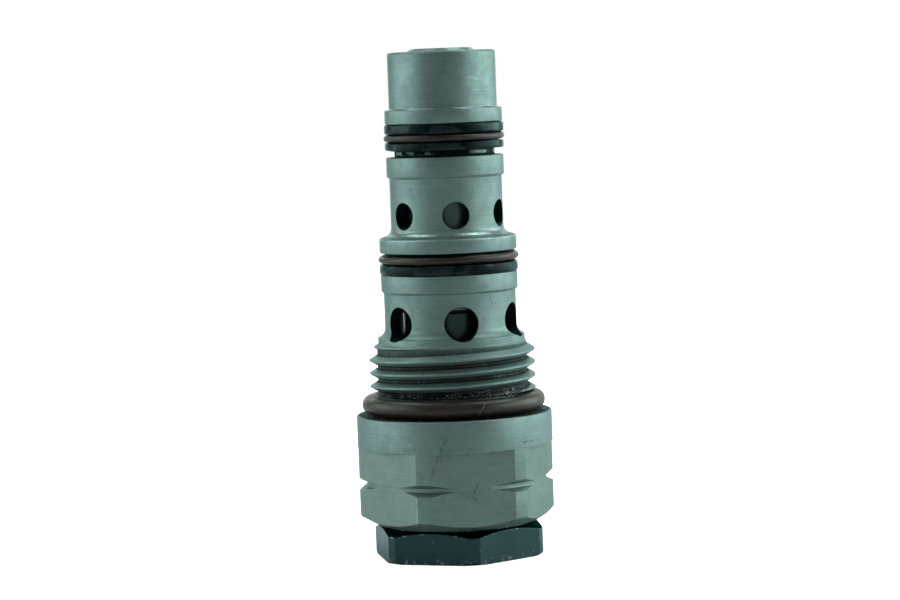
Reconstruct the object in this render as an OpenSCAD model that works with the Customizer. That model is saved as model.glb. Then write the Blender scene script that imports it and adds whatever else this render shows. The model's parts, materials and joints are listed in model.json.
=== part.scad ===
// Screw-in hydraulic cartridge valve, three ports, pilot operated, fixed setting.
// The valve stands on its end plug with its nose up: Z is the cartridge axis and
// the origin is the centre of the plug's lower face. A flat of the large hexagon
// and one port hole of each ring face -Y.

/* [End plug] */
// Height of the plug's hexagon
plug_hex_h = 5.3; // [5:0.1:5.5]
// Plug hexagon across flats (1 inch)
plug_af = 25.4; // [25:0.1:26]
// Diameter that the plug's corners are turned to
plug_corner_d = 28.4; // [28.1:0.1:28.8]
// Diameter of the plug's thread (3/4 inch)
plug_thread_d = 19; // [18.8:0.1:19]

/* [Hexagon and collar] */
// Height of the body's lower face above the plug's lower face
hex_z = 5.65; // [5.6:0.05:5.8]
// Body hexagon across flats (1 1/8 inch)
hex_af = 28.575; // [28.4:0.025:28.7]
// Diameter of the collar that the hexagon is milled into (1 1/4 inch)
collar_d = 31.75; // [31.6:0.05:31.9]
// Height where the flats end
ledge_z = 18.25; // [17.5:0.05:19]
// Height of the collar's seating face
seat_z = 23.3; // [23.2:0.05:23.4]
// Height of the identification groove's middle
id_groove_z = 12.3; // [11.5:0.1:13.5]

/* [Thread] */
// Major diameter of the cavity thread (1 1/16-12)
thread_d = 26.92; // [26.8:0.01:26.99]
// Thread pitch (12 to the inch)
thread_pitch = 2.117; // [2.1:0.001:2.13]
// Height where the thread starts above the undercut
thread_z = 26.6; // [26.5:0.1:26.9]
// Height where the thread ends
thread_end_z = 34.8; // [34.6:0.1:34.9]

/* [Ports] */
// Number of holes in each ring
hole_count = 6; // [4:1:6]
// Diameter of the drain ring's holes
drain_hole_d = 5.5; // [5:0.1:5.6]
// Height of the drain ring's holes
drain_hole_z = 38.3; // [38.2:0.05:38.6]
// Diameter of the outlet ring's holes
outlet_hole_d = 4.36; // [4:0.02:4.4]
// Height of the outlet ring's holes
outlet_hole_z = 55.55; // [55.4:0.05:55.7]
// Turn of the hole rings away from the hexagon's flat, degrees
hole_turn = -1; // [-5:0.5:5]

/* [Seal lands] */
// Diameter of the middle seal lands (for a 7/8 inch bore)
mid_land_d = 22.16; // [22.1:0.01:22.2]
// Diameter of the nose seal lands (for a 3/4 inch bore)
nose_land_d = 19; // [18.95:0.01:19.03]
// Floor diameter of the middle seal groove
mid_groove_d = 18.9; // [18.8:0.1:19]
// Floor diameter of the nose seal groove
nose_groove_d = 16.2; // [16.1:0.1:16.4]

/* [Nose] */
// Diameter of the nose
nose_d = 17.48; // [17.3:0.02:17.6]
// Height of the nose's end face
nose_z = 81.84; // [81.5:0.02:82]
// How far the stop ring stands out of the nose
stop_ring_out = 0.46; // [0.2:0.02:0.6]
// Diameter of the stop ring
stop_ring_d = 11.2; // [11:0.1:11.3]

/* [Main spool] */
// Diameter of the spool
spool_d = 13.3; // [13.2:0.02:13.3]
// Radial running clearance of the spool in its bores
spool_gap = 0.02; // [0.015:0.005:0.04]
// Stroke of the spool towards the hexagon
spool_stroke = 4.5; // [3.5:0.1:4.6]

/* [Pilot stage] */
// Bore of the pilot seat
pilot_bore_d = 1.8; // [1.4:0.1:2]
// Number of setting shims under the pilot spring
shim_count = 3; // [2:1:3]

/* [Hidden] */
$fn = 96;
eps = 0.01;                       // overlap of a cutting tool
steel = [0.47, 0.56, 0.55];       // phosphated body
black_oxide = [0.13, 0.19, 0.2];
brown_seal = [0.28, 0.22, 0.2];
black_seal = [0.08, 0.1, 0.11];
bright_steel = [0.7, 0.72, 0.73];
spring_steel = [0.45, 0.47, 0.5];
mesh_steel = [0.75, 0.72, 0.62];

// End plug
plug_chamfer_rise = 0.7;          // from a flat's middle to a corner, upper side
plug_foot_chamfer = 0.45;
plug_washer_r = 12.2;
plug_land_z0 = 14.4;              // seal land of the plug inside the body
plug_land_z1 = 19;
plug_groove = [16, 17.9];
plug_groove_r = 7.2;
plug_pocket_r = 4.2;
plug_pocket_z = 3;

// Body outside
body_foot_r = 13.3;
foot_chamfer_angle = 30;
id_groove_r = 14.6;
id_groove_floor = 0.62;
id_groove_w = 1.9;
undercut_r = 11.95;
root_r = 12.13;
thread_start_slope = 6;           // crest radius gained per mm of height where the thread starts
thread_end_slope = 0.98;          // crest radius lost per mm of height where it runs out
relief_r = 11.92;
relief_top_z = 35.83;
drain_ring_r = 10.7;
drain_fillet_z = 37.5;
drain_ring_top_z = 43.03;
mid_land_b = [43.35, 46.08];
mid_land_a = [49.58, 51.66];
outlet_ring_r = 9.1;
shoulder_r = 9.8;
shoulder_z = 52.3;
outlet_fillet_z = 53.6;
outlet_ring_top_z = 61.5;
nose_land_2 = [61.87, 64.94];
nose_land_1 = [70.28, 72.4];
nose_step_z = 72.58;
nose_fillet = 0.36;
nose_round = 0.5;
edge = 0.18;                      // small broken edges

// Body inside
body_thread_r = plug_thread_d / 2 + 0.03;
body_thread_mouth_r = 10.2;
chamber_r = 8.7;
chamber_top_z = 42.2;
spool_r = spool_d / 2;
bore_r = spool_r + spool_gap;
bore_top_z = 77.3;
stop_ring_r = stop_ring_d / 2;
stop_ring_z = 77.2;
stop_ring_bore_r = 3;
stop_ring_key_af = 6;             // hexagon socket across flats
stop_ring_key_depth = 2.4;        // below the nose's end face

// Pilot sleeve
sleeve_r = chamber_r - 0.04;
sleeve_waist_r = 7.7;
sleeve_waist_z = 33.5;
sleeve_groove = [39.8, 40.4];
sleeve_groove_r = 7.25;
sleeve_top_z = chamber_top_z - 0.02;
partition = [27.5, 29.5];
partition_hole_r = 2;
pilot_chamber_r = 5.5;
drain_slot_w = 4;                 // slots along the sleeve's skirt, for the spent pilot flow
drain_slot_floor_r = 7.9;
drain_slot_angles = [30, 150, 270];
vent_r = 0.9;                     // hole from the pilot chamber into each slot
vent_z = 21;

// Spool
spool_top_z = stop_ring_z - 0.02;
spool_end_gap = 0.6;              // left under the spool at the end of its stroke
spool_z = partition[1] + spool_end_gap + spool_stroke;
spool_web = [50, 57];
spool_pocket_r = 4.9;
spool_cavity_r = 4.5;
cross_hole_r = 1.9;
cross_hole_z = outlet_hole_z + outlet_hole_d / 2 + 0.5 + cross_hole_r;
balance_groove_z = [45, 47.5, 66, 68.5, 72];
balance_groove_w = 0.5;
balance_groove_depth = 0.3;
orifice_plug_r = 1.6;
orifice_r = 0.4;
orifice_key_af = 1.5;
filter_z = spool_web[1];
filter_h = 0.4;
filter_hole_r = 0.35;
filter_hole_pitch = 1.3;
filter_wire_r = 0.29;             // of the spring ring that holds the filter

// Seals
nose_o_ring_z = [67.36, 68.64];
nose_o_ring_r = 9.8;
nose_backup_r = 9.67;
nose_backup_foot_z = 65.95;
mid_o_ring_z = [47.76, 49.5];
mid_o_ring_r = 11.4;
mid_backup_r = 11.25;
port_o_ring_z = 25;
port_o_ring_cs = 2.95;

// Pilot stage
pilot_seat_z = [22.6, 27.48];
pilot_seat_groove = [24.4, 26.2];
pilot_seat_groove_r = 4.35;
seat_chamfer = 0.6;
poppet_cone_angle = 30;
poppet_r = 2;
poppet_flange_r = 3.7;
poppet_flange_z = [18, 19.2];
poppet_stem_r = 1.6;
poppet_stem_z = 14;
shim_h = 0.3;
shim_bore_r = 1.7;
pilot_spring_z = [plug_pocket_z + shim_count * shim_h + 0.02, poppet_flange_z[0] - 0.02];
main_spring_z = [partition[1] + 0.02, spool_web[0] - 0.02];
main_spring_r = 4.15;             // to the middle of the wire
main_spring_wire_r = 0.65;
pilot_spring_r = 2.95;
pilot_spring_wire_r = 0.6;
spring_turns = 5.5;               // working turns of both springs

// Points of a round stretch from angle a0 to a1 about a centre, as [radius, height]
function arc(centre, r, a0, a1, steps = 8) =
    [for (i = [0:steps]) let (a = a0 + (a1 - a0) * i / steps) centre + r * [cos(a), sin(a)]];

// Radius of an arc that is upright at [r0, z0] and passes through [r1, z1] below it
function fillet_radius(r0, z0, r1, z1) = (pow(r1 - r0, 2) + pow(z0 - z1, 2)) / (2 * (r1 - r0));

// Concave fillet from [r1, z1] at its foot up to the cylinder r0 at height z0
function foot_fillet(r0, z0, r1, z1) =
    let (r = fillet_radius(r0, z0, r1, z1), a = atan2(z0 - z1, r0 + r - r1))
    arc([r0 + r, z0], r, 180 + a, 180, 10);

module tube(r_out, r_in, z0, z1) {
    translate([0, 0, z0])
        difference() {
            cylinder(r = r_out, h = z1 - z0);
            translate([0, 0, -eps])
                cylinder(r = r_in, h = z1 - z0 + 2 * eps);
        }
}

module hexagon(af, z0, z1, turn = 0) {
    translate([0, 0, z0])
        rotate([0, 0, turn])
            cylinder(d = af / cos(30), h = z1 - z0, $fn = 6);
}

// Seal ring squeezed between the walls of its groove: a rounded rectangle in section
module squeezed_ring(r_in, r_out, z) {
    r = 0.45 * min(r_out - r_in, z[1] - z[0]);
    rotate_extrude() {
        translate([r_in, z[0] + r])
            square([r_out - r_in, z[1] - z[0] - 2 * r]);
        translate([r_in + r, z[0]])
            square([r_out - r_in - 2 * r, z[1] - z[0]]);
        for (x = [r_in + r, r_out - r])
            for (y = [z[0] + r, z[1] - r])
                translate([x, y])
                    circle(r = r, $fn = 32);
    }
}

// Backup ring with broken outer edges
module backup_ring(r_in, r_out, z) {
    b = 0.2;
    rotate_extrude()
        polygon([[r_in, z[0]], [r_out - b, z[0]], [r_out, z[0] + b],
                 [r_out, z[1] - b], [r_out - b, z[1]], [r_in, z[1]]]);
}

// Round holes through a wall, spread evenly round the axis, the first one facing -Y
module hole_ring(r, z, count, r_from, r_to, turn = 0) {
    for (i = [0:count - 1])
        rotate([0, 0, turn + 360 * i / count])
            translate([0, -r_from, z])
                rotate([90, 0, 0])
                    cylinder(r = r, h = r_to - r_from);
}

// Tube of rings swept along a list of frames; each ring is a list of points
module skin(rings) {
    n = len(rings[0]);
    m = len(rings);
    points = [for (ring = rings) for (p = ring) p];
    sides = [for (i = [0:m - 2]) for (j = [0:n - 1])
        let (k = (j + 1) % n)
        for (f = [[i * n + j, (i + 1) * n + k, i * n + k], [i * n + j, (i + 1) * n + j, (i + 1) * n + k]]) f];
    caps = [[for (j = [0:n - 1]) j], [for (j = [n - 1:-1:0]) (m - 1) * n + j]];
    polyhedron(points, concat(sides, caps));
}

// Compression spring between two heights, with closed ends of three quarters of a turn
module coil_spring(mean_r, wire_r, z, turns) {
    sides = 8;
    per_turn = 20;
    closed = 0.75;
    z_low = z[0] + wire_r;
    z_high = z[1] - wire_r;
    end_pitch = 2 * wire_r * 1.03;
    rise = z_high - z_low - 2 * closed * end_pitch;
    total = turns + 2 * closed;
    rings = [for (i = [0:total * per_turn])
        let (t = i / per_turn,
             h = z_low + end_pitch * min(t, closed) + end_pitch * max(0, t - closed - turns)
                 + rise * min(max(t - closed, 0), turns) / turns,
             a = 360 * t)
        [for (j = [0:sides - 1]) let (b = 360 * j / sides)
            [(mean_r + wire_r * cos(b)) * cos(a), (mean_r + wire_r * cos(b)) * sin(a), h - wire_r * sin(b)]]];
    skin(rings);
}

// Right-hand thread ridge with 60 degree flanks, run out at both ends.
// Its crest stands at height thread_phase_z, or a whole number of pitches above, where it crosses +X.
thread_phase_z = 24.853;
function thread_crest_r(z) =
    min(thread_d / 2, root_r + 0.03 + (z - thread_z - 0.1) * thread_start_slope,
        root_r + 0.03 + (thread_end_z - z) * thread_end_slope);
module thread_ridge() {
    per_turn = 40;
    crest_half = thread_pitch / 16;
    root_half = crest_half + (thread_d / 2 - root_r) * tan(30);
    base_r = root_r - 0.5;
    first = ceil((thread_z + 0.1 - thread_phase_z) / thread_pitch * per_turn);
    last = floor((thread_end_z - thread_phase_z) / thread_pitch * per_turn);
    rings = [for (i = [first:last])
        let (z = thread_phase_z + thread_pitch * i / per_turn,
             a = 360 * i / per_turn,
             r = thread_crest_r(z),
             half = root_half - (r - root_r) * tan(30))
        [for (p = [[base_r, z + root_half], [root_r - 0.05, z + root_half], [r, z + half],
                   [r, z - half], [root_r - 0.05, z - root_half], [base_r, z - root_half]])
            [p[0] * cos(a), p[0] * sin(a), p[1]]]];
    skin(rings);
}

module body_blank() {
    chamfer_top = hex_z + (collar_d / 2 - body_foot_r) * tan(foot_chamfer_angle);
    collar_r = collar_d / 2;
    mid_r = mid_land_d / 2;
    nose_land_r = nose_land_d / 2;
    nose_r = nose_d / 2;
    rotate_extrude()
        polygon(concat(
            [[0, hex_z], [body_foot_r, hex_z], [collar_r, chamfer_top],
             [collar_r, id_groove_z - id_groove_w / 2], [id_groove_r, id_groove_z - id_groove_floor / 2],
             [id_groove_r, id_groove_z + id_groove_floor / 2], [collar_r, id_groove_z + id_groove_w / 2],
             [collar_r, seat_z - edge], [collar_r - edge, seat_z],
             [undercut_r, seat_z], [undercut_r, thread_z - 0.2], [root_r, thread_z],
             [root_r, thread_end_z - 0.2], [relief_r, thread_end_z]],
            foot_fillet(drain_ring_r, drain_fillet_z, relief_r, relief_top_z),
            [[drain_ring_r, drain_ring_top_z], [mid_r, mid_land_b[0]],
             [mid_r, mid_land_b[1]], [mid_groove_d / 2, mid_land_b[1]],
             [mid_groove_d / 2, mid_land_a[0]], [mid_r, mid_land_a[0]],
             [mid_r, mid_land_a[1]], [mid_r - edge, mid_land_a[1] + edge]],
            foot_fillet(outlet_ring_r, outlet_fillet_z, shoulder_r, shoulder_z),
            [[outlet_ring_r, outlet_ring_top_z], [nose_land_r, nose_land_2[0]],
             [nose_land_r, nose_land_2[1]], [nose_groove_d / 2, nose_land_2[1]],
             [nose_groove_d / 2, nose_land_1[0]], [nose_land_r, nose_land_1[0]],
             [nose_land_r, nose_land_1[1]], [nose_land_r - edge, nose_step_z]],
            arc([nose_r + nose_fillet, nose_step_z + nose_fillet], nose_fillet, 270, 180, 6),
            arc([nose_r - nose_round, nose_z - nose_round], nose_round, 0, 90, 6),
            [[0, nose_z]]));
}

module body_bores() {
    rotate_extrude()
        polygon([[0, hex_z - 1], [body_thread_mouth_r, hex_z - 1], [body_thread_mouth_r, hex_z],
                 [body_thread_r, hex_z + 0.7], [body_thread_r, plug_land_z0 - 0.2],
                 [chamber_r, plug_land_z0 + 0.3], [chamber_r, chamber_top_z],
                 [bore_r, chamber_top_z], [bore_r, bore_top_z],
                 [stop_ring_r, bore_top_z], [stop_ring_r, nose_z + 1], [0, nose_z + 1]]);
}

// What is milled away between the collar and the six flats
module hex_waste() {
    difference() {
        translate([0, 0, hex_z - 1])
            cylinder(d = collar_d + 4, h = ledge_z - hex_z + 1);
        hexagon(hex_af, hex_z - 2, ledge_z + 1);
    }
}

module valve_body() {
    color(steel)
        difference() {
            union() {
                body_blank();
                thread_ridge();
            }
            hex_waste();
            body_bores();
            hole_ring(drain_hole_d / 2, drain_hole_z, hole_count, chamber_r - 1, collar_d / 2, hole_turn);
            hole_ring(outlet_hole_d / 2, outlet_hole_z, hole_count, bore_r - 1, collar_d / 2, hole_turn);
        }
}

module end_plug() {
    corner_r = plug_corner_d / 2;
    flat_r = plug_af / 2;
    slope = plug_chamfer_rise / (corner_r - flat_r);
    top_r = plug_washer_r;
    corner_z = plug_hex_h - (corner_r - top_r) * slope;
    color(black_oxide)
        difference() {
            union() {
                intersection() {
                    rotate_extrude()
                        polygon([[0, 0], [corner_r - plug_foot_chamfer, 0], [corner_r, plug_foot_chamfer],
                                 [corner_r, corner_z], [top_r, plug_hex_h], [top_r, hex_z], [0, hex_z]]);
                    hexagon(plug_af, -1, hex_z + 1, 30);
                }
                rotate_extrude()
                    polygon([[0, hex_z - 0.5], [plug_thread_d / 2, hex_z - 0.5],
                             [plug_thread_d / 2, plug_land_z0 - 0.9], [chamber_r - 0.04, plug_land_z0],
                             [chamber_r - 0.04, plug_groove[0]], [plug_groove_r, plug_groove[0]],
                             [plug_groove_r, plug_groove[1]], [chamber_r - 0.04, plug_groove[1]],
                             [chamber_r - 0.04, plug_land_z1], [0, plug_land_z1]]);
            }
            translate([0, 0, plug_pocket_z])
                cylinder(r = plug_pocket_r, h = plug_land_z1);
        }
}

module nose_stop_ring() {
    top_z = nose_z + stop_ring_out;
    bevel = 0.7;
    color(steel)
        difference() {
            rotate_extrude()
                polygon([[0, stop_ring_z], [stop_ring_r - 0.02, stop_ring_z], [stop_ring_r - 0.02, nose_z],
                         [stop_ring_r - bevel, top_z], [0, top_z]]);
            translate([0, 0, stop_ring_z - eps])
                cylinder(r = stop_ring_bore_r, h = top_z - stop_ring_z + 1);
            hexagon(stop_ring_key_af, nose_z - stop_ring_key_depth, top_z + 1);
        }
}

module nose_o_ring() {
    color(brown_seal) squeezed_ring(nose_groove_d / 2 + 0.02, nose_o_ring_r, nose_o_ring_z);
}

module nose_backup_ring_outer() {
    color(black_seal)
        backup_ring(nose_groove_d / 2 + 0.02, nose_backup_r,
                    [nose_o_ring_z[1] + 0.02, nose_land_1[0] - 0.06]);
}

module nose_backup_ring_inner() {
    color(black_seal)
        backup_ring(nose_groove_d / 2 + 0.02, nose_backup_r, [nose_backup_foot_z, nose_o_ring_z[0] - 0.02]);
}

module mid_o_ring() {
    color(brown_seal) squeezed_ring(mid_groove_d / 2 + 0.02, mid_o_ring_r, mid_o_ring_z);
}

module mid_backup_ring() {
    color(black_seal)
        backup_ring(mid_groove_d / 2 + 0.02, mid_backup_r, [mid_land_b[1] + 0.03, mid_o_ring_z[0] - 0.02]);
}

module port_o_ring() {
    color(brown_seal)
        translate([0, 0, port_o_ring_z])
            rotate_extrude()
                translate([undercut_r + port_o_ring_cs / 2 + 0.01, 0])
                    circle(d = port_o_ring_cs, $fn = 48);
}

module plug_o_ring() {
    color(brown_seal)
        squeezed_ring(plug_groove_r + 0.02, chamber_r - 0.01, [plug_groove[0] + 0.1, plug_groove[1] - 0.1]);
}

module main_spool() {
    b = 0.25;
    color(bright_steel)
        difference() {
            rotate_extrude()
                polygon([[0, spool_z], [spool_r - b, spool_z], [spool_r, spool_z + b],
                         [spool_r, spool_top_z - b], [spool_r - b, spool_top_z], [0, spool_top_z]]);
            translate([0, 0, spool_z - eps])
                cylinder(r = spool_pocket_r, h = spool_web[0] - spool_z + eps);
            translate([0, 0, spool_web[1]])
                cylinder(r = spool_cavity_r, h = spool_top_z);
            translate([0, 0, spool_web[0] - 1])
                cylinder(r = orifice_plug_r, h = spool_web[1] - spool_web[0] + 2);
            tube(spool_cavity_r + 0.25, 1, filter_z + filter_h + 0.1, filter_z + filter_h + 0.7);
            hole_ring(cross_hole_r, cross_hole_z, hole_count, spool_cavity_r - 1, spool_r + 1, hole_turn);
            for (z = balance_groove_z)
                tube(spool_r + 1, spool_r - balance_groove_depth, z, z + balance_groove_w);
        }
}

module spool_orifice_plug() {
    color(bright_steel)
        difference() {
            translate([0, 0, spool_web[0] + 0.6])
                cylinder(r = orifice_plug_r, h = spool_web[1] - spool_web[0] - 1);
            translate([0, 0, spool_web[0]])
                cylinder(r = orifice_r, h = 10, $fn = 24);
            hexagon(orifice_key_af, spool_web[1] - 1.6, spool_web[1]);
        }
}

module orifice_filter() {
    pitch = filter_hole_pitch;
    color(mesh_steel)
        difference() {
            translate([0, 0, filter_z])
                cylinder(r = spool_cavity_r - 0.02, h = filter_h);
            for (row = [-2:2])
                for (i = [-2:2])
                    if (abs(row + i) <= 2)
                        translate([(i + row / 2) * pitch, row * pitch * sin(60), filter_z - 1])
                            cylinder(r = filter_hole_r, h = 3, $fn = 16);
        }
}

module filter_ring() {
    color(spring_steel)
        translate([0, 0, filter_z + filter_h + 0.4])
            rotate([0, 0, 20])
                rotate_extrude(angle = 320)
                    translate([spool_cavity_r - 0.06, 0])
                        circle(r = filter_wire_r, $fn = 16);
}

module main_spring() {
    color(spring_steel) coil_spring(main_spring_r, main_spring_wire_r, main_spring_z, spring_turns);
}

module pilot_sleeve() {
    color(bright_steel)
        difference() {
            rotate_extrude()
                polygon([[0, plug_land_z1 + 0.02], [sleeve_r - 0.3, plug_land_z1 + 0.02],
                         [sleeve_r, plug_land_z1 + 0.32], [sleeve_r, sleeve_waist_z - 0.5],
                         [sleeve_waist_r, sleeve_waist_z], [sleeve_waist_r, sleeve_groove[0]],
                         [sleeve_groove_r, sleeve_groove[0]], [sleeve_groove_r, sleeve_groove[1]],
                         [sleeve_r, sleeve_groove[1]], [sleeve_r, sleeve_top_z], [0, sleeve_top_z]]);
            translate([0, 0, plug_land_z1 - 1])
                cylinder(r = pilot_chamber_r, h = partition[0] - plug_land_z1 + 1);
            translate([0, 0, partition[1]])
                cylinder(r = bore_r, h = chamber_top_z);
            translate([0, 0, partition[0] - 1])
                cylinder(r = partition_hole_r, h = partition[1] - partition[0] + 2);
            for (a = drain_slot_angles)
                rotate([0, 0, a]) {
                    translate([drain_slot_floor_r, -drain_slot_w / 2, plug_land_z1 - 1])
                        cube([chamber_r, drain_slot_w, sleeve_waist_z - plug_land_z1 + 1]);
                    translate([0, 0, vent_z])
                        rotate([0, 90, 0])
                            cylinder(r = vent_r, h = collar_d / 2);
                }
        }
}

module pilot_seat() {
    r = pilot_bore_d / 2;
    z0 = pilot_seat_z[0];
    z1 = pilot_seat_z[1];
    outer = pilot_chamber_r - 0.02;
    color(bright_steel)
        rotate_extrude()
            polygon([[r + seat_chamfer, z0], [outer, z0], [outer, pilot_seat_groove[0]],
                     [pilot_seat_groove_r, pilot_seat_groove[0]], [pilot_seat_groove_r, pilot_seat_groove[1]],
                     [outer, pilot_seat_groove[1]], [outer, z1], [r, z1], [r, z0 + seat_chamfer]]);
}

module pilot_seat_o_ring() {
    color(brown_seal)
        squeezed_ring(pilot_seat_groove_r + 0.02, pilot_chamber_r - 0.01,
                      [pilot_seat_groove[0] + 0.05, pilot_seat_groove[1] - 0.05]);
}

module pilot_poppet() {
    seat_r = pilot_bore_d / 2 - 0.01;
    seat_z0 = pilot_seat_z[0] + seat_chamfer;
    slope = tan(poppet_cone_angle);
    tip_r = 0.35;
    color(bright_steel)
        rotate_extrude()
            polygon([[0, poppet_stem_z], [poppet_stem_r - 0.3, poppet_stem_z],
                     [poppet_stem_r, poppet_stem_z + 0.3], [poppet_stem_r, poppet_flange_z[0]],
                     [poppet_flange_r, poppet_flange_z[0]],
                     [poppet_flange_r, poppet_flange_z[1]], [poppet_r, poppet_flange_z[1]],
                     [poppet_r, seat_z0 - (poppet_r - seat_r) / slope],
                     [tip_r, seat_z0 + (seat_r - tip_r) / slope],
                     [0, seat_z0 + (seat_r - tip_r) / slope]]);
}

module pilot_spring() {
    color(spring_steel) coil_spring(pilot_spring_r, pilot_spring_wire_r, pilot_spring_z, spring_turns);
}

module setting_shims() {
    color(bright_steel)
        for (i = [0:shim_count - 1])
            tube(plug_pocket_r - 0.2, shim_bore_r,
                 plug_pocket_z + i * shim_h, plug_pocket_z + (i + 1) * shim_h - 0.01);
}

valve_body();
end_plug();
nose_stop_ring();
nose_o_ring();
nose_backup_ring_outer();
nose_backup_ring_inner();
mid_o_ring();
mid_backup_ring();
port_o_ring();
plug_o_ring();
main_spool();
spool_orifice_plug();
orifice_filter();
filter_ring();
main_spring();
pilot_sleeve();
pilot_seat();
pilot_seat_o_ring();
pilot_poppet();
pilot_spring();
setting_shims();
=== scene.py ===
import json
import math

import bmesh
import bpy
from mathutils import Matrix, Vector


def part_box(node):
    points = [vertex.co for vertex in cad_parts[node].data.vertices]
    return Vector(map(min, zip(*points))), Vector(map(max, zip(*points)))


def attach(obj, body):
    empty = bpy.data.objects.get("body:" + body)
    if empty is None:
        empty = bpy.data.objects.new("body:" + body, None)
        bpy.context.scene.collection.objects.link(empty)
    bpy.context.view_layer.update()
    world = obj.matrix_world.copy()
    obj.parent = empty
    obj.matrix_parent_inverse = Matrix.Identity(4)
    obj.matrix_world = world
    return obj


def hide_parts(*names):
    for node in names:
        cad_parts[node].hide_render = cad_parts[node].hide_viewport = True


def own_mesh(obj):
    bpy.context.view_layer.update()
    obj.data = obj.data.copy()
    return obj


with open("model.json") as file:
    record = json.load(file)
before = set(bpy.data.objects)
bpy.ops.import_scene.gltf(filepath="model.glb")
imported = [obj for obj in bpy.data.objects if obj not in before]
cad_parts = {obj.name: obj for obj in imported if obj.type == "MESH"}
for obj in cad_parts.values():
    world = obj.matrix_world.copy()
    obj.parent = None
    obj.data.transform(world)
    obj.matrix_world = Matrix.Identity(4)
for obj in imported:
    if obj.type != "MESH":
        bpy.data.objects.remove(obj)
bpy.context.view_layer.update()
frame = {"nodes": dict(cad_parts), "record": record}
nodes = frame["nodes"]

MM = 0.001
TAU = 2 * math.pi

# The body in mm: radii, widths across flats, and heights above the plug's foot.
HEX_WIDTH, HEX_FOOT, HEX_TOP = 28.575, 5.65, 18.25
COLLAR_R, COLLAR_TOP, NOTCH_R = 15.875, 23.3, 14.6
NECK_R, ROOT_R, THREAD_R, RELIEF_R = 11.95, 12.13, 13.46, 11.92
THREAD_FOOT, THREAD_TOP = 26.6, 34.8
PITCH, PHASE = 2.117, 24.853    # right-hand thread; crests pass +X at PHASE and every PITCH above it
WAIST_R = 10.7                  # round the lower port holes
LOWER_FILLET, UPPER_FILLET = (35.83, 37.5), (52.3, 53.6)    # heights of foot and top
LAND_R, LAND_GROOVE_R, LAND_GROOVE = 11.08, 9.45, (46.08, 49.58)
SHOULDER = 51.84
BARREL_R = 9.1                  # round the upper port holes
NOSE_LAND_R, NOSE_GROOVE_R, NOSE_GROOVE = 9.5, 8.1, (64.94, 70.28)
NOSE_R, NOSE_STEP, NOSE_TOP = 8.74, 72.58, 81.84
PORT_ROWS = ((2.75, 38.3, 7.7), (2.18, 55.55, 5.67))    # hole radius, height, start of the drilling
PORT_COUNT, PORT_TURN = 6, -1.0    # holes in a row, and their turn in degrees


# ---------------------------------------------------------------- node trees

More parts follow.
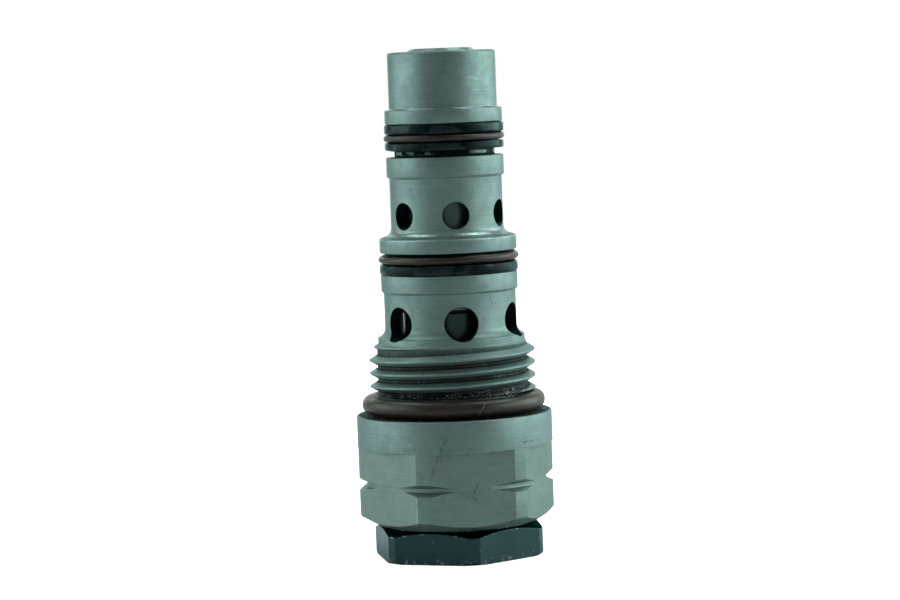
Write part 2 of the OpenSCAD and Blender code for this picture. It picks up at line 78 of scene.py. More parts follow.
class Shader:
    """A material's node tree, built by calls that return sockets.

    The coordinates x, y and z and the distance r from the Z axis are in mm.
    """

    def __init__(self, name):
        self.material = bpy.data.materials.new(name)
        self.material.use_nodes = True
        self.tree = self.material.node_tree
        self.tree.nodes.clear()
        out = self.add("ShaderNodeOutputMaterial")
        self.bsdf = self.add("ShaderNodeBsdfPrincipled")
        self.tree.links.new(self.bsdf.outputs[0], out.inputs[0])
        self.position = self.add("ShaderNodeTexCoord").outputs["Object"]
        self.normal = self.add("ShaderNodeNewGeometry").outputs["Normal"]
        self.x, self.y, self.z = (self.times(v, 1 / MM) for v in self.split(self.position))
        self.r = self.length(self.x, self.y)

    def add(self, kind, **settings):
        node = self.tree.nodes.new(kind)
        for key, value in settings.items():
            setattr(node, key, value)
        return node

    def put(self, value, socket):
        if isinstance(value, bpy.types.NodeSocket):
            self.tree.links.new(value, socket)
        else:
            socket.default_value = value

    def math(self, operation, *values):
        node = self.add("ShaderNodeMath", operation=operation)
        for value, socket in zip(values, node.inputs):
            self.put(value, socket)
        return node.outputs[0]

    def chain(self, operation, values):
        result = values[0]
        for value in values[1:]:
            result = self.math(operation, result, value)
        return result

    def times(self, *values):
        return self.chain("MULTIPLY", values)

    def plus(self, *values):
        return self.chain("ADD", values)

    def minus(self, *values):
        return self.chain("SUBTRACT", values)

    def most(self, *values):
        return self.chain("MAXIMUM", values)

    def length(self, a, b):
        return self.math("SQRT", self.plus(self.times(a, a), self.times(b, b)))

    def split(self, vector):
        node = self.add("ShaderNodeSeparateXYZ")
        self.put(vector, node.inputs[0])
        return node.outputs[0], node.outputs[1], node.outputs[2]

    def noise(self, scale, detail=2.0, roughness=0.5, vector=None):
        node = self.add("ShaderNodeTexNoise")
        self.put(self.position if vector is None else vector, node.inputs["Vector"])
        node.inputs["Scale"].default_value = scale
        node.inputs["Detail"].default_value = detail
        node.inputs["Roughness"].default_value = roughness
        return node.outputs["Fac"]

    def turned(self, per_mm, sweep=1.5, detail=3, roughness=0.6):
        """Noise drawn out round the Z axis, as fine lathe marks are."""
        r = self.most(self.r, 0.01)
        facing_up = self.math("ABSOLUTE", self.split(self.normal)[2])
        along = self.times(self.plus(self.z, self.times(r, facing_up)), per_mm)
        node = self.add("ShaderNodeCombineXYZ")
        for value, socket in zip((self.x, self.y), node.inputs):
            self.put(self.times(self.math("DIVIDE", value, r), sweep), socket)
        self.put(along, node.inputs[2])
        return self.noise(1.0, detail, roughness, node.outputs[0])

    def band(self, value, low, high, to_low=0.0, to_high=1.0):
        """Smooth step of value, from to_low at low to to_high at high."""
        node = self.add("ShaderNodeMapRange", interpolation_type="SMOOTHSTEP")
        for v, key in ((value, "Value"), (low, "From Min"), (high, "From Max"),
                       (to_low, "To Min"), (to_high, "To Max")):
            self.put(v, node.inputs[key])
        return node.outputs[0]

    def step(self, value, at, low, high):
        """Smooth step from 0 at low to 1 at high, both measured from at."""
        return self.band(value, at + low, at + high)

    def window(self, value, at, start, full, fade, end):
        """1 from full to fade, and 0 before start and after end, all measured from at."""
        return self.times(self.step(value, at, start, full), self.step(value, at, end, fade))

    def mix(self, factor, a, b):
        node = self.add("ShaderNodeMix", data_type="RGBA")
        self.put(factor, node.inputs[0])
        self.put(a if isinstance(a, bpy.types.NodeSocket) else (*a, 1.0), node.inputs[6])
        self.put(b if isinstance(b, bpy.types.NodeSocket) else (*b, 1.0), node.inputs[7])
        return node.outputs[2]

    def stain(self, color, mask, amount, over):
        """The colour, with another laid over it where the mask is 1."""
        return self.mix(self.times(mask, amount), color, over)

    def bevel(self, radius):
        node = self.add("ShaderNodeBevel", samples=6)
        node.inputs["Radius"].default_value = radius * MM
        return node.outputs[0]

    def edges(self, radius):
        """1 within radius mm of a sharp edge, 0 elsewhere."""
        dot = self.add("ShaderNodeVectorMath", operation="DOT_PRODUCT")
        self.put(self.bevel(radius), dot.inputs[0])
        self.put(self.normal, dot.inputs[1])
        return self.band(dot.outputs["Value"], 0.995, 0.9)

    def bump(self, height, distance, strength, edge_radius=0.0):
        """Relief of distance mm, on edges rounded to edge_radius mm."""
        node = self.add("ShaderNodeBump")
        node.inputs["Strength"].default_value = strength
        node.inputs["Distance"].default_value = distance * MM
        self.put(height, node.inputs["Height"])
        if edge_radius:
            self.put(self.bevel(edge_radius), node.inputs["Normal"])
        self.put(node.outputs[0], self.bsdf.inputs["Normal"])

    def scratch(self, start, end, width, waver=0.3):
        """Mask of one thin mark on the side facing -Y, between two (x, z) points."""
        run, rise = end[0] - start[0], end[1] - start[1]
        length = math.hypot(run, rise)
        ux, uz = run / length, rise / length
        dx, dz = self.minus(self.x, start[0]), self.minus(self.z, start[1])
        along = self.plus(self.times(dx, ux), self.times(dz, uz))
        across = self.minus(self.times(dx, uz), self.times(dz, ux))
        wave = self.times(self.minus(self.noise(900, 3), 0.5), waver * 2)
        across = self.math("ABSOLUTE", self.plus(across, wave))
        side = self.band(across, width, width * 0.3)
        ends = self.times(self.band(along, 0, length * 0.15), self.band(along, length, length * 0.8))
        front = self.math("LESS_THAN", self.y, 0.0)
        broken = self.band(self.noise(2600, 2), 0.36, 0.5)
        return self.times(side, ends, front, broken)

    def scratches(self, *marks):
        return self.most(*(self.scratch(*mark) for mark in marks))

    def finish(self, **values):
        names = {"color": "Base Color", "roughness": "Roughness", "metallic": "Metallic",
                 "specular": "Specular IOR Level", "tint": "Specular Tint"}
        for key, value in values.items():
            if isinstance(value, tuple):
                value = (*value, 1.0)
            self.put(value, self.bsdf.inputs[names[key]])
        return self.material


# ----------------------------------------------------------------- materials

def port_walls(s):
    """Mask of the port holes' walls and the bores behind them, deeper than the body's skin."""
    skin = s.band(s.z, 44.0, 43.9, BARREL_R - 0.5, WAIST_R - 0.3)
    walls = s.times(s.band(s.r, skin, s.minus(skin, 0.6)), s.band(s.z, 64.0, 60.0), s.band(s.z, 35.0, 35.2))
    angle = s.plus(s.math("ARCTAN2", s.y, s.x), math.radians(-PORT_TURN))
    angle = s.minus(s.math("FLOORED_MODULO", angle, TAU / PORT_COUNT), math.pi / PORT_COUNT)
    aside = s.times(s.r, s.math("SINE", angle))
    for radius, height, _ in PORT_ROWS:
        off_axis = s.length(aside, s.minus(s.z, height))
        walls = s.most(walls, s.step(off_axis, radius, 0.05, 0.01))
    return walls


def thread_roots(s):
    """Mask of the thread's roots, painted dark as shade and grime: broad low down, where the grease lies,
    and narrow in the top turn.
    """
    widest = s.band(s.z, 33.0, 33.6, ROOT_R + 0.55, ROOT_R + 0.23)
    full = s.band(s.z, 33.0, 33.6, ROOT_R + 0.11, ROOT_R + 0.03)
    return s.times(s.step(s.z, THREAD_FOOT, -0.5, 0), s.step(s.z, THREAD_TOP, 0.1, -0.6),
                   s.band(s.r, widest, full))


def thread_trace(s):
    """Mask of the helix of the crest, carried on past the end of the thread."""
    turn = s.minus(s.math("DIVIDE", s.minus(s.z, PHASE), PITCH),
                   s.math("DIVIDE", s.math("ARCTAN2", s.y, s.x), TAU))
    off_crest = s.minus(s.math("FLOORED_MODULO", s.plus(turn, 0.5), 1.0), 0.5)
    return s.times(s.band(s.math("ABSOLUTE", off_crest), 0.27, 0.15),
                   s.band(s.noise(800, 3), 0.30, 0.50, 0.55, 1.0))


def seal_grooves(s):
    """Mask of the floors and sides of the two seal grooves."""
    (land_foot, land_top), (nose_foot, nose_top) = LAND_GROOVE, NOSE_GROOVE
    land = s.times(s.step(s.r, LAND_GROOVE_R, 1.35, 0.95),
                   s.step(s.z, land_foot, -0.18, 0.02), s.step(s.z, land_top, 0.12, -0.08))
    nose = s.times(s.step(s.r, NOSE_GROOVE_R, 0.7, 0.4),
                   s.step(s.z, nose_foot, -0.14, 0.06), s.step(s.z, nose_top, 0.12, -0.08))
    return s.most(nose, land)


def phosphated_steel(name):
    """Satin grey-green coating over turned and milled steel, with the marks of use, painted shade and
    painted highlights.
    """
    s = Shader(name)
    blotch = s.noise(170, 4, 0.6)
    cloud = s.noise(700, 4, 0.6)
    grain = s.noise(5200, 2, 0.6)
    rings = s.turned(4.2, 1.1)
    waves = s.turned(0.9, 0.7, 2, 0.5)
    color = s.mix(s.band(blotch, 0.3, 0.7), (0.109, 0.175, 0.164), (0.140, 0.215, 0.202))
    color = s.mix(s.band(cloud, 0.42, 0.75, 0.0, 0.35), color, (0.090, 0.146, 0.134))
    color = s.mix(s.band(grain, 0.45, 0.8, 0.0, 0.5), color, (0.195, 0.293, 0.277))
    color = s.mix(s.band(rings, 0.40, 0.72, 0.0, 0.38), color, (0.19, 0.283, 0.267))
    milled = s.times(s.step(s.z, HEX_TOP, 0.1, -0.1), s.step(s.r, COLLAR_R, 0.025, -0.125))
    color = s.stain(color, milled, 0.25, (0.165, 0.220, 0.192))
    # edges and creases painted lighter: wear, and a painted highlight along them
    edge_wear_and_highlight = s.times(s.edges(0.16), s.band(s.noise(900, 3), 0.35, 0.6, 0.2, 1.0))
    color = s.stain(color, edge_wear_and_highlight, 0.5, (0.24, 0.33, 0.32))
    # painted shade: the port holes' walls and the bores behind them painted near black
    bore_shade = port_walls(s)
    color = s.stain(color, bore_shade, 0.93, (0.005, 0.012, 0.012))

    # painted shade and grime in the thread's roots, with dried grease and pale specks
    root = thread_roots(s)
    color = s.stain(color, root, s.band(s.z, 34.6, 33.0, 0.55, 0.9), (0.014, 0.020, 0.018))
    grease = s.times(s.band(s.noise(420, 4, 0.7), 0.47, 0.60), s.band(s.z, 34.0, 32.5, 0.15, 1.0))
    color = s.stain(color, s.times(root, grease), 0.8, (0.045, 0.024, 0.019))
    speck = s.times(s.band(s.noise(3600, 2, 0.7), 0.60, 0.68), s.band(s.noise(330, 2), 0.47, 0.57),
                    s.band(s.z, 33.7, 33.1, 0.3, 0.7))
    color = s.stain(color, root, speck, (0.42, 0.44, 0.41))

    # painted shade on the neck above the port O-ring and on the collar's top face below it, kept lighter
    # along the crest's helix, with crumbs on both
    neck = s.times(s.step(s.z, THREAD_FOOT, 1.2, 0.6), s.step(s.r, NECK_R, 0.8, 0.5))
    lip = s.times(s.step(s.z, COLLAR_TOP, 0.7, 0.5), s.step(s.r, COLLAR_R, -0.155, -0.525))
    neck_and_lip = s.times(s.most(neck, lip), s.step(s.z, COLLAR_TOP, -0.2, -0.08))
    neck_and_lip_shade = s.times(neck_and_lip, s.minus(1.0, s.times(neck, thread_trace(s), 0.85)))
    color = s.stain(color, neck_and_lip_shade, s.band(s.noise(500, 3), 0.3, 0.5, 0.62, 0.97), (0.005, 0.009, 0.009))
    crumbs = s.band(s.noise(4400, 3, 0.7), s.plus(s.times(lip, 0.01), 0.56), 0.64)
    heaps = s.band(s.plus(s.noise(260, 2), s.times(lip, 0.06)), 0.44, 0.54)
    color = s.stain(color, neck_and_lip, s.times(crumbs, heaps), (0.42, 0.47, 0.45))

    # a dark broken line on the shoulder at the foot of the upper fillet, and the shoulder's corner painted
    # bright: a painted highlight and wear
    seam = s.times(s.window(s.r, LAND_R, -1.08, -0.78, -0.38, -0.26),
                   s.window(s.z, SHOULDER, -0.14, -0.04, 0.36, 0.56),
                   s.band(s.noise(420, 3, 0.6), 0.40, 0.52))
    color = s.stain(color, seam, 0.6, (0.030, 0.048, 0.046))
    corner = s.times(s.window(s.z, SHOULDER, -0.29, -0.19, -0.04, 0.02), s.step(s.r, LAND_R, -0.26, -0.16),
                     s.band(s.noise(300, 3, 0.6), 0.36, 0.56, 0.2, 1.0))
    color = s.stain(color, corner, 0.55, (0.36, 0.46, 0.44))

    # seal grooves painted black, as painted shade under the rings and oil, with two painted glints on the
    # floor of the nose groove
    groove = seal_grooves(s)
    color = s.stain(color, groove, 0.97, (0.003, 0.007, 0.007))
    glint = s.times(s.step(s.r, NOSE_GROOVE_R, 0.3, 0.15),
                    s.window(s.z, NOSE_GROOVE[0], 0.26, 0.56, 0.76, 1.16),
                    s.band(s.math("ABSOLUTE", s.x), 2.2, 3.6), s.band(s.noise(420, 3, 0.6), 0.38, 0.50))
    color = s.mix(glint, color, (0.10, 0.15, 0.145))

    # single marks on the side facing -Y: rust, dark nicks and bright scratches
    rust = s.scratches(((-4.0, 21.4), (-7.0, 13.8), 0.26), ((-4.6, 18.8), (-5.3, 16.4), 0.16),
                       ((4.7, 43.0), (5.1, 40.9), 0.2))
    color = s.stain(color, rust, 0.42, (0.085, 0.060, 0.045))
    dark = s.scratches(((0.9, 13.4), (-0.1, 11.2), 0.10, 0.1), ((-0.3, 10.9), (0.7, 10.6), 0.14),
                       ((-5.2, 10.6), (-4.9, 10.4), 0.2), ((8.2, 19.1), (10.8, 19.3), 0.10))
    color = s.stain(color, dark, 0.75, (0.018, 0.020, 0.019))
    light = s.scratches(((2.0, 77.6), (4.8, 77.1), 0.10), ((-9.9, 19.9), (-9.2, 19.6), 0.14),
                        ((-8.95, 11.4), (-8.95, 5.9), 0.11, 0.1), ((6.9, 11.6), (6.9, 5.9), 0.07, 0.1))
    color = s.stain(color, light, 0.45, (0.40, 0.48, 0.46))
    pits = s.band(s.noise(1150, 1, 0.3), 0.80, 0.82)
    color = s.stain(color, pits, 0.6, (0.02, 0.025, 0.024))

    # upward faces of two fillets and the nose's corner: smoother, as the form tool left them, and painted
    # lighter as a painted highlight
    facing_up = s.band(s.split(s.normal)[2], 0.15, 0.5)
    formed = s.most(s.window(s.z, UPPER_FILLET[0], -0.2, 0.1, 1.3, 1.7),
                    s.window(s.z, NOSE_STEP, -0.18, 0.02, 0.52, 0.72), s.step(s.z, NOSE_TOP, -0.14, 0.06))
    smooth_with_painted_highlight = s.times(formed, facing_up, s.band(s.noise(420, 3), 0.36, 0.56, 0.3, 1.0))
    color = s.stain(color, smooth_with_painted_highlight, 0.35, (0.36, 0.46, 0.44))

    relief = s.plus(s.times(rings, 0.6), s.times(grain, 0.7), s.times(waves, 0.8))
    s.bump(relief, 0.012, 0.6, edge_radius=0.13)
    # where shade and grime are painted, the surface is rougher and fully metallic, which darkens it further
    grime_and_shade = s.most(groove, bore_shade, neck_and_lip_shade, s.times(root, 0.8))
    rough = s.plus(s.band(cloud, 0.3, 0.7, 0.42, 0.52), s.times(s.minus(rings, 0.5), 0.12),
                   s.times(s.minus(grime_and_shade, glint), 0.25))
    rough = s.minus(rough, s.times(smooth_with_painted_highlight, 0.19), s.times(edge_wear_and_highlight, 0.08))
    return s.finish(color=color, roughness=rough, metallic=s.band(grime_and_shade, 0.0, 1.0, 0.7, 1.0), specular=0.5,
                    tint=(0.8, 1.0, 0.98))


def black_oxide(name):
    """Blackened plug: painted shade on its top chamfer under the body, chipped bright at its corners and
    foot.
    """
    s = Shader(name)
    cloud = s.noise(260, 4, 0.6)
    grain = s.noise(4200, 2, 0.6)
    brushed = s.turned(3.8, 1.2)
    color = s.mix(s.band(cloud, 0.3, 0.7), (0.0036, 0.0125, 0.014), (0.0055, 0.0182, 0.0205))
    color = s.mix(s.band(grain, 0.5, 0.8, 0.0, 0.3), color, (0.027, 0.060, 0.066))
    # painted shade: the upward faces of the top chamfer, under the body's foot, painted near black, rougher
    # and fully metallic
    top_shade = s.times(s.band(s.split(s.normal)[2], 0.25, 0.5), s.band(s.z, 3.0, 3.6))
    color = s.stain(color, top_shade, 0.95, (0.001, 0.003, 0.003))
    low_edge = s.band(s.z, 3.5, 2.8, 0.03, 0.0)
    chipped = s.times(s.edges(0.4), s.band(s.minus(s.noise(1300, 4, 0.65), low_edge), 0.53, 0.60))
    color = s.stain(color, chipped, 0.85, (0.40, 0.48, 0.46))
    foot = s.times(s.band(s.z, 1.2, 0.2), s.band(s.noise(900, 4, 0.7), 0.52, 0.60))
    color = s.stain(color, foot, 0.6, (0.26, 0.32, 0.31))
    nick = s.band(s.noise(2300, 3, 0.6), 0.71, 0.74)
    color = s.stain(color, nick, 0.5, (0.16, 0.21, 0.21))
    height = s.minus(s.plus(s.times(brushed, 0.5), s.times(grain, 0.6)), s.times(chipped, 1.5))
    s.bump(height, 0.015, 0.5, edge_radius=0.2)
    rough = s.plus(s.band(cloud, 0.3, 0.7, 0.28, 0.38), s.times(top_shade, 0.5))
    return s.finish(color=color, roughness=rough, metallic=s.band(top_shade, 0.0, 1.0, 0.35, 1.0), specular=0.8,
                    tint=(0.5, 0.96, 1.0))


def seal_rubber(name):
    """Dark brown rubber under a film of oil, with dust and one nick."""
    s = Shader(name)
    cloud = s.noise(420, 4, 0.6)
    fine = s.noise(5200, 2, 0.6)
    rings = s.turned(2.6, 2.5)
    color = s.mix(s.band(cloud, 0.3, 0.7), (0.010, 0.0060, 0.0040), (0.018, 0.0115, 0.0082))
    color = s.mix(s.band(rings, 0.45, 0.75, 0.0, 0.4), color, (0.034, 0.024, 0.019))
    color = s.stain(color, s.band(fine, 0.71, 0.77), 0.4, (0.15, 0.14, 0.13))
    color = s.stain(color, s.scratch((2.6, 26.2), (1.0, 23.6), 0.09), 0.6, (0.20, 0.16, 0.13))
    s.bump(s.plus(s.times(rings, 0.8), s.times(fine, 0.5)), 0.02, 0.5)
    return s.finish(color=color, roughness=s.band(cloud, 0.3, 0.7, 0.31, 0.48), specular=0.37,
                    tint=(0.85, 1.0, 0.97))


def backup_plastic(name):
    """Near-black plastic of the backup rings, with patches of oil painted lighter as a painted sheen."""
    s = Shader(name)
    cloud = s.noise(520, 3, 0.6)
    rings = s.turned(4.2, 1.6)
    color = s.mix(s.band(cloud, 0.3, 0.7), (0.0008, 0.0028, 0.0031), (0.0019, 0.0055, 0.0059))
    color = s.mix(s.band(rings, 0.5, 0.8, 0.0, 0.5), color, (0.007, 0.014, 0.015))
    # patches of oil: smoother, and painted lighter as a painted sheen
    oil_and_sheen = s.band(s.noise(230, 3, 0.6), 0.50, 0.60)
    color = s.stain(color, oil_and_sheen, 0.6, (0.019, 0.036, 0.036))
    s.bump(s.plus(rings, s.times(cloud, 1.5)), 0.02, 0.5, edge_radius=0.1)
    rough = s.minus(s.band(cloud, 0.3, 0.7, 0.26, 0.42), s.times(oil_and_sheen, 0.10))
    return s.finish(color=color, roughness=rough, metallic=0.55, specular=0.2, tint=(0.58, 0.96, 0.93))


def ground_steel(name, low, high, rough_low, rough_high, groove=None):
    """Bare steel between two shades; a groove is a black band of painted shade, with the metal above it
    painted lighter as a painted reflection.
    """
    s = Shader(name)
    cloud = s.noise(380, 3, 0.6)
    rings = s.turned(6)
    color = s.mix(s.band(cloud, 0.3, 0.7), low, high)
    color = s.mix(s.band(rings, 0.3, 0.8, 0.0, 0.12), color, tuple(min(1.0, 1.2 * c) for c in high))
    if groove:
        bottom, top = groove
        # painted reflection above the groove, and painted shade inside it
        color = s.mix(s.step(s.z, top, 0, 0.1), color, tuple(2.2 * c for c in high))
        inside = s.times(s.step(s.z, bottom, -0.02, 0), s.step(s.z, top, 0.02, 0))
        color = s.mix(inside, color, (0.001, 0.002, 0.002))
    s.bump(rings, 0.003, 0.2, edge_radius=0.1)
    rough = s.band(s.plus(s.times(cloud, 0.6), s.times(rings, 0.4)), 0.3, 0.7, rough_low, rough_high)
    return s.finish(color=color, roughness=rough, metallic=0.85)


MATERIALS = {
    "body_steel": phosphated_steel("phosphated_steel"),
    "black_oxide": black_oxide("black_oxide"),
    "brown_seal": seal_rubber("brown_seal_rubber"),
    "black_backup": backup_plastic("backup_plastic"),
    # the spool's and pilot sleeve's steel painted dark as shade, as they are seen only inside the bores;
    # the sleeve darker still
    "bright_steel": ground_steel("ground_steel", (0.056, 0.101, 0.099), (0.078, 0.130, 0.126), 0.26, 0.34),
    "shaded_ground_steel": ground_steel("shaded_ground_steel", (0.021, 0.040, 0.037), (0.034, 0.058, 0.054), 0.2, 0.3,
                                groove=(39.8, 40.4)),
    "spring_steel": ground_steel("spring_wire", (0.20, 0.21, 0.23), (0.30, 0.31, 0.33), 0.28, 0.4),
    "mesh_steel": ground_steel("etched_sheet", (0.55, 0.52, 0.44), (0.66, 0.62, 0.52), 0.25, 0.4),
}
slot_of = {p["node"]: p["material_slot"] for p in frame["record"]["subparts"]}
for node_name, obj in nodes.items():
    slot = "shaded_ground_steel" if node_name == "pilot_sleeve" else slot_of[node_name]
    obj.data.materials.clear()
    obj.data.materials.append(MATERIALS[slot])


# ------------------------------------------------------------- detailed body

def add_object(name, data):
    obj = bpy.data.objects.new(name, data)
    bpy.context.scene.collection.objects.link(obj)
    return obj


def mesh_object(name, bm):
    mesh = bpy.data.meshes.new(name)
    bm.to_mesh(mesh)
    bm.free()
    return add_object(name, mesh)


def ring_point(radius, angle, height):
    """Point in metres at a radius and height in mm."""
    return radius * MM * math.cos(angle), radius * MM * math.sin(angle), height * MM


def skin_between(bm, near, far):
    """Quads between two closed rows of vertices."""
    for k in range(len(near)):
        n = (k + 1) % len(near)
        bm.faces.new((near[k], near[n], far[n], far[k]))


def rounded(profile, steps=4):
    """Profile of (radius, height[, corner radius]) with its corners rounded."""
    out = []
    for i, point in enumerate(profile):
        corner = Vector(point[:2])
        if len(point) < 3 or i in (0, len(profile) - 1):
            out.append(corner)
            continue
        back = Vector(profile[i - 1][:2]) - corner
        on = Vector(profile[i + 1][:2]) - corner
        half = back.angle(on) / 2
        cut_back = min(point[2] / math.tan(half), 0.45 * back.length, 0.45 * on.length)
        radius = cut_back * math.tan(half)
        back, on = back.normalized(), on.normalized()
        centre = corner + (back + on).normalized() * (radius / math.sin(half))
        start, end = corner + back * cut_back - centre, corner + on * cut_back - centre
        sweep = start.angle(end)
        for k in range(steps + 1):
            t = k / steps
            from_start, from_end = math.sin((1 - t) * sweep), math.sin(t * sweep)
            out.append(centre + (start * from_start + end * from_end) / math.sin(sweep))
    return [(q.x, q.y) for q in out]


def lathe(name, profile, columns, shape=None):
    """Closed solid of revolution; shape(angle, radius, height) may change a point's radius."""
    bm = bmesh.new()
    rings = []
    for r, z in profile:
        ring = []
        for j in range(columns):
            a = TAU * j / columns
            ring.append(bm.verts.new(ring_point(shape(a, r, z) if shape else r, a, z)))
        rings.append(ring)
    for low, high in zip(rings, rings[1:]):
        skin_between(bm, low, high)
    bm.faces.new(list(reversed(rings[0])))
    bm.faces.new(rings[-1])
    return mesh_object(name, bm)


def prism(name, radius, sides, low, high, place=None):
    """Upright prism or cylinder, moved by a matrix."""
    bm = bmesh.new()
    foot, head = ([bm.verts.new(ring_point(radius, TAU * j / sides, z)) for j in range(sides)]
                  for z in (low, high))
    skin_between(bm, foot, head)
    bm.faces.new(list(reversed(foot)))
    bm.faces.new(head)
    if place is not None:
        bm.transform(place)
    return mesh_object(name, bm)


def cut(obj, tools):
    """Takes the tools out of the object and deletes them."""
    for tool in tools:
        modifier = obj.modifiers.new("cut", "BOOLEAN")
        modifier.object = tool
        modifier.operation = "DIFFERENCE"
        modifier.solver = "MANIFOLD"
    bpy.context.view_layer.update()
    result = bpy.data.meshes.new_from_object(obj.evaluated_get(bpy.context.evaluated_depsgraph_get()))
    obj.modifiers.clear()
    obj.data = result
    for tool in tools:
        bpy.data.objects.remove(tool)


def smooth(obj, angle):
    obj.data.shade_smooth()
    obj.data.set_sharp_from_angle(angle=math.radians(angle))


def soft_max(a, b, soft):
    return max(a, b) + soft * math.log(1 + math.exp(-abs(a - b) / soft))


def thread_radius(angle, r, z):
    """Radius of the body with its right-hand thread; the corners of crest and root are a little round."""
    if not THREAD_FOOT - 0.5 < z < THREAD_TOP + 0.5:
        return r
    turn = (z - PHASE) / PITCH - angle / TAU
    offset = (turn - round(turn)) * PITCH
    crest_z = z - offset
    corner, rise_at_foot, fall_at_top = 0.03, 6, 0.98
    crest = min(THREAD_R, ROOT_R + corner + (crest_z - THREAD_FOOT - 0.1) * rise_at_foot,
                ROOT_R + corner + (THREAD_TOP - crest_z) * fall_at_top)
    half_crest, flank_angle = PITCH / 16, math.radians(30)
    flank = crest + (half_crest - abs(offset)) / math.tan(flank_angle)
    ridge = -soft_max(-crest, -flank, corner)
    return soft_max(ridge, r, corner) if ridge > r - 0.4 else r


def threaded_stretch(step=0.085, blend=0.2):
    """Rows under the thread, close enough together to carry it, from the neck to the relief above it."""
    foot, top = THREAD_FOOT - 0.3, THREAD_TOP + 0.2
    rows = []
    for i in range(int((top - foot) / step) + 1):
        z = foot + step * i
        low = NECK_R + (ROOT_R - NECK_R) * min(1, max(0, (z - THREAD_FOOT + blend) / blend))
        rows.append((low - (ROOT_R - RELIEF_R) * min(1, max(0, (z - THREAD_TOP + blend) / blend)), z))
    return rows


def foot_fillet(shaft, foot, heights, steps=10):
    """Concave fillet from the radius foot, at the lower height, up to the radius shaft at the upper one."""
    low, high = heights
    r = ((foot - shaft) ** 2 + (high - low) ** 2) / (2 * (foot - shaft))
    a = math.atan2(high - low, shaft + r - foot)
    return [(shaft + r - r * math.cos(a * (1 - i / steps)), high - r * math.sin(a * (1 - i / steps)))
            for i in range(steps + 1)]


def arc(cx, cy, r, a0, a1, steps=7):
    return [(cx + r * math.cos(math.radians(a0 + (a1 - a0) * i / steps)),
             cy + r * math.sin(math.radians(a0 + (a1 - a0) * i / steps))) for i in range(steps + 1)]


def body_profile():
    """Outline of the body, from foot to nose, before its hexagon, bores and holes are cut."""
    (land_foot, land_top), (nose_foot, nose_top) = LAND_GROOVE, NOSE_GROOVE
    corner, fillet = 0.5, 0.36
    outline = rounded(
        [(0, HEX_FOOT), (13.3, HEX_FOOT, 0.1), (COLLAR_R, 7.137, 0.2), (COLLAR_R, 11.35, 0.1),
         (NOTCH_R, 11.99, 0.1), (NOTCH_R, 12.61, 0.1), (COLLAR_R, 13.25, 0.1), (COLLAR_R, HEX_TOP),
         (COLLAR_R, COLLAR_TOP, 0.24), (NECK_R, COLLAR_TOP, 0.15)]
        + threaded_stretch() + foot_fillet(WAIST_R, RELIEF_R, LOWER_FILLET)
        + [(WAIST_R, 43.03, 0.1), (LAND_R, 43.35, 0.12), (LAND_R, land_foot, 0.16),
           (LAND_GROOVE_R, land_foot, 0.15), (LAND_GROOVE_R, land_top, 0.15), (LAND_R, land_top, 0.16),
           (LAND_R, SHOULDER, 0.25)]
        + foot_fillet(BARREL_R, BARREL_R + 0.7, UPPER_FILLET)
        + [(BARREL_R, 61.5, 0.1), (NOSE_LAND_R, 61.87, 0.12), (NOSE_LAND_R, nose_foot, 0.16),
           (NOSE_GROOVE_R, nose_foot, 0.15), (NOSE_GROOVE_R, nose_top, 0.15), (NOSE_LAND_R, nose_top, 0.16),
           (NOSE_LAND_R, NOSE_STEP, 0.25)]
        + arc(NOSE_R + fillet, NOSE_STEP + fillet, fillet, 270, 180)
        + arc(NOSE_R - corner, NOSE_TOP - corner, corner, 0, 90))
    return outline[1:]    # without the point on the axis


def make_body():
    body = lathe("valve_body_detail", body_profile(), 180, thread_radius)
    waste = prism("waste", 18, 48, HEX_FOOT - 1, HEX_TOP)
    cut(waste, [prism("hexagon", HEX_WIDTH / 2 / math.cos(math.pi / 6), 6, 3, 20)])
    bores = lathe("bores", [(10.2, HEX_FOOT - 1), (10.2, HEX_FOOT), (9.53, 6.35), (9.53, 14.2), (8.7, 14.7),
                            (8.7, 42.2), (6.67, 42.2), (6.67, 77.3), (5.6, 77.3), (5.6, NOSE_TOP + 1)], 120)
    tools = [waste, bores]
    for radius, z, start in PORT_ROWS:
        for i in range(PORT_COUNT):
            place = (Matrix.Rotation(TAU * i / PORT_COUNT + math.radians(PORT_TURN), 4, "Z")
                     @ Matrix.Translation((0, -start * MM, z * MM)) @ Matrix.Rotation(math.pi / 2, 4, "X"))
            tools.append(prism("hole", radius, 72, 0, 16 - start, place))
    cut(body, tools)
    smooth(body, 24)
    body.data.materials.clear()
    body.data.materials.append(MATERIALS["body_steel"])
    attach(body, "cartridge")
    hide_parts("valve_body")


# ----------------------------------------------------------- seals and springs

def stand_in(bm, node, angle):
    """Object made from bm that takes the place of a CAD node of the cartridge."""
    bmesh.ops.recalc_face_normals(bm, faces=bm.faces)
    obj = mesh_object(node + "_detail", bm)
    smooth(obj, angle)
    obj.data.materials.append(MATERIALS[slot_of[node]])
    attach(obj, "cartridge")
    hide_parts(node)
    return obj


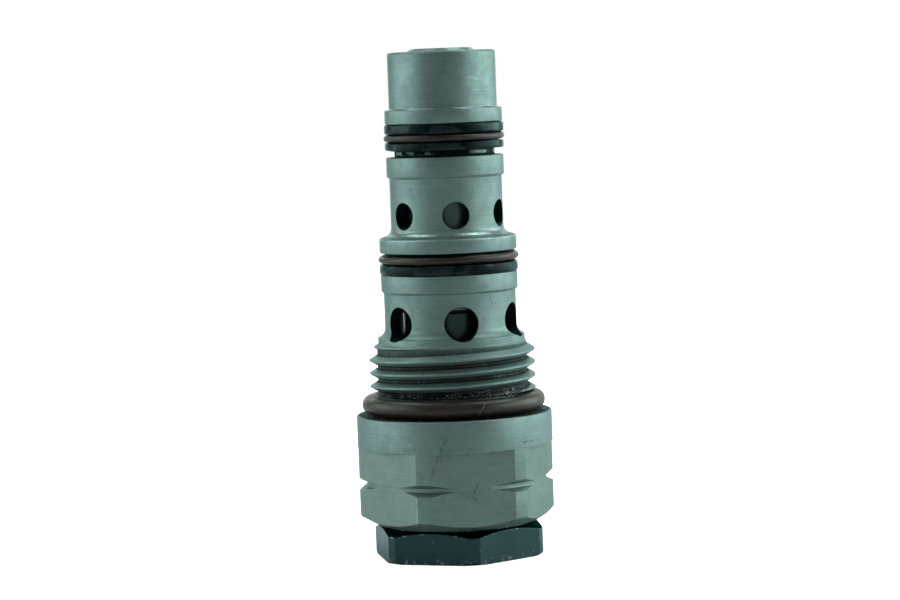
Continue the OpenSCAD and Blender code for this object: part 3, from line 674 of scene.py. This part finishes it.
def seal_ring(node, groove_radius, squareness, wave, seed, gap=0.0, columns=168, steps=32):
    """Ring lying in its groove as rubber and plastic do, a little uneven, in place of its CAD node.

    squareness is 2 for a round section and more for a squarer one, wave is the unevenness in mm, seed turns
    its pattern, and gap is how far the ring's top is drawn down.
    """
    low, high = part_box(node)
    outer, middle, half = high.x / MM, (low.z + high.z) / 2 / MM, (high.z - low.z) / 2 / MM
    reach = (outer - groove_radius) / 2
    bm = bmesh.new()
    rings = []
    for j in range(columns):
        a = TAU * j / columns
        rise = wave * (0.5 * math.sin(2 * a + seed) + 0.35 * math.sin(5 * a + 2.1 * seed)
                       + 0.15 * math.sin(11 * a + seed))
        draw = wave * (0.5 + 0.3 * math.sin(3 * a + 1.3 * seed) + 0.2 * math.sin(8 * a + 3 * seed))
        thick = half - 0.5 * wave * (1 + math.sin(4 * a + 0.7 * seed))
        drawn_down = gap * (0.6 + 0.3 * math.cos(a - math.radians(215)) + 0.1 * math.sin(9 * a + seed))
        thick, rise = thick - drawn_down / 2, rise - drawn_down / 2
        ring = []
        for k in range(steps):
            c, s = math.cos(TAU * k / steps), math.sin(TAU * k / steps)
            u = math.copysign(abs(c) ** (2 / squareness), c)
            v = math.copysign(abs(s) ** (2 / squareness), s)
            r = groove_radius + reach + (reach - draw / 2) * u - draw / 2
            ring.append(bm.verts.new(ring_point(r, a, middle + rise + thick * v)))
        rings.append(ring)
    for j in range(columns):
        near, far = rings[j], rings[(j + 1) % columns]
        for k in range(steps):
            n = (k + 1) % steps
            bm.faces.new((near[k], far[k], far[n], near[n]))
    stand_in(bm, node, 50)


def spring(node, wire, turns=5.5, closed=0.75, per_turn=40, sides=14):
    """Round-wire spring with closed, ground ends, in place of its CAD node."""
    low, high = (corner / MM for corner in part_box(node))
    mean, bottom, top, grind = high.x - wire, low.z, high.z, 0.5 * wire
    end_pitch = 2 * wire * 1.03
    rise = top - bottom - 2 * (wire - grind) - 2 * closed * end_pitch
    total = turns + 2 * closed
    bm = bmesh.new()
    rings = []
    for i in range(int(total * per_turn) + 1):
        t = i / per_turn
        middle = (bottom + wire - grind + end_pitch * (min(t, closed) + max(0, t - closed - turns))
                  + rise * min(max(t - closed, 0), turns) / turns)
        ring = []
        for k in range(sides):
            b = TAU * k / sides
            z = min(max(middle + wire * math.sin(b), bottom), top)
            ring.append(bm.verts.new(ring_point(mean + wire * math.cos(b), TAU * t, z)))
        rings.append(ring)
    for near, far in zip(rings, rings[1:]):
        skin_between(bm, near, far)
    bm.faces.new(list(reversed(rings[0])))
    bm.faces.new(rings[-1])
    obj = stand_in(bm, node, 40)
    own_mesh(obj)


make_body()
seal_ring("nose_backup_ring_outer", 8.12, squareness=6, wave=0.03, seed=0.4)
seal_ring("nose_o_ring", 8.12, squareness=2.1, wave=0.05, seed=1.1)
seal_ring("nose_backup_ring_inner", 8.12, squareness=6, wave=0.09, seed=2.6)
seal_ring("mid_o_ring", 9.47, squareness=2.0, wave=0.08, seed=3.9, gap=0.3)
seal_ring("mid_backup_ring", 9.47, squareness=6, wave=0.03, seed=5.2)
seal_ring("port_o_ring", 11.96, squareness=2.1, wave=0.08, seed=0.9)
spring("main_spring", wire=0.65)
spring("pilot_spring", wire=0.6)


# ------------------------------------------------------ floor, light, camera

AZIMUTH, ELEVATION, ROLL = -10.3, 4.1, 2.13
DISTANCE, TARGET_Z = 0.503, 0.0415
FOCAL_PIXELS, IMAGE_PIXELS, SENSOR = 3097, 900, 36


def around(azimuth, elevation, distance):
    """Place on a sphere round the middle of the valve; azimuth 0 looks along +Y."""
    a, e = math.radians(azimuth), math.radians(elevation)
    return Vector((distance * math.sin(a) * math.cos(e), -distance * math.cos(a) * math.cos(e),
                   distance * math.sin(e) + TARGET_Z))


def towards_valve(place):
    return (Vector((0, 0, TARGET_Z)) - place).to_track_quat("-Z", "Y")


def softbox(name, azimuth, elevation, distance, width, height, radiance):
    data = bpy.data.lights.new(name, "AREA")
    data.shape = "RECTANGLE"
    data.size, data.size_y = width, height
    data.energy = radiance * math.pi * width * height
    data.color = (0.93, 1.0, 0.985)
    obj = add_object(name, data)
    obj.location = around(azimuth, elevation, distance)
    obj.rotation_euler = towards_valve(obj.location).to_euler()
    obj.visible_camera = False


softbox("left_box", AZIMUTH - 90, 6, 0.6, 0.75, 0.6, 2.55)
softbox("right_box", AZIMUTH + 96, 6, 0.6, 0.92, 0.6, 3.45)
softbox("back_box", AZIMUTH + 180, 12, 0.8, 0.9, 0.6, 1.1)
softbox("high_left_box", AZIMUTH - 112, 62, 0.7, 0.35, 0.35, 3.6)
softbox("high_right_box", AZIMUTH + 112, 62, 0.7, 0.45, 0.35, 4.4)


def make_world(fill, seen=1.0):
    """White world that lights the valve dimly and looks bright behind it."""
    world = bpy.data.worlds.new("studio")
    world.use_nodes = True
    tree = world.node_tree
    tree.nodes.clear()
    output = tree.nodes.new("ShaderNodeOutputWorld")
    choose = tree.nodes.new("ShaderNodeMixShader")
    path = tree.nodes.new("ShaderNodeLightPath")
    tree.links.new(path.outputs["Is Camera Ray"], choose.inputs[0])
    for socket, strength in zip((choose.inputs[1], choose.inputs[2]), (fill, seen)):
        white = tree.nodes.new("ShaderNodeBackground")
        white.inputs[0].default_value = (1, 1, 1, 1)
        white.inputs[1].default_value = strength
        tree.links.new(white.outputs[0], socket)
    tree.links.new(choose.outputs[0], output.inputs[0])
    bpy.context.scene.world = world


def make_floor(radius=0.9, drop=0.00002, glow=0.9):
    """Pale paper disc just under the valve, lit up a little for the camera."""
    bm = bmesh.new()
    bmesh.ops.create_circle(bm, cap_ends=True, segments=96, radius=radius)
    floor = mesh_object("floor", bm)
    floor.location = (0, 0, -drop)
    paper = bpy.data.materials.new("paper")
    paper.use_nodes = True
    tree = paper.node_tree
    bsdf = tree.nodes["Principled BSDF"]
    bsdf.inputs["Base Color"].default_value = (0.68, 0.68, 0.68, 1)
    bsdf.inputs["Roughness"].default_value = 0.9
    bsdf.inputs["Specular IOR Level"].default_value = 0.1
    bsdf.inputs["Emission Color"].default_value = (1, 1, 1, 1)
    path = tree.nodes.new("ShaderNodeLightPath")
    strength = tree.nodes.new("ShaderNodeMath")
    strength.operation = "MULTIPLY"
    strength.inputs[1].default_value = glow
    tree.links.new(path.outputs["Is Camera Ray"], strength.inputs[0])
    tree.links.new(strength.outputs[0], bsdf.inputs["Emission Strength"])
    floor.data.materials.append(paper)


def make_camera():
    data = bpy.data.cameras.new("camera")
    data.sensor_width = SENSOR
    data.lens = FOCAL_PIXELS / IMAGE_PIXELS * SENSOR
    data.clip_start = 0.01
    camera = add_object("camera", data)
    camera.location = around(AZIMUTH, ELEVATION, DISTANCE)
    look = towards_valve(camera.location).to_matrix()
    camera.rotation_euler = (look @ Matrix.Rotation(math.radians(-ROLL), 3, "Z")).to_euler()
    bpy.context.scene.camera = camera


make_world(fill=0.24)
make_floor()
make_camera()
bpy.context.scene.view_settings.view_transform = "Standard"
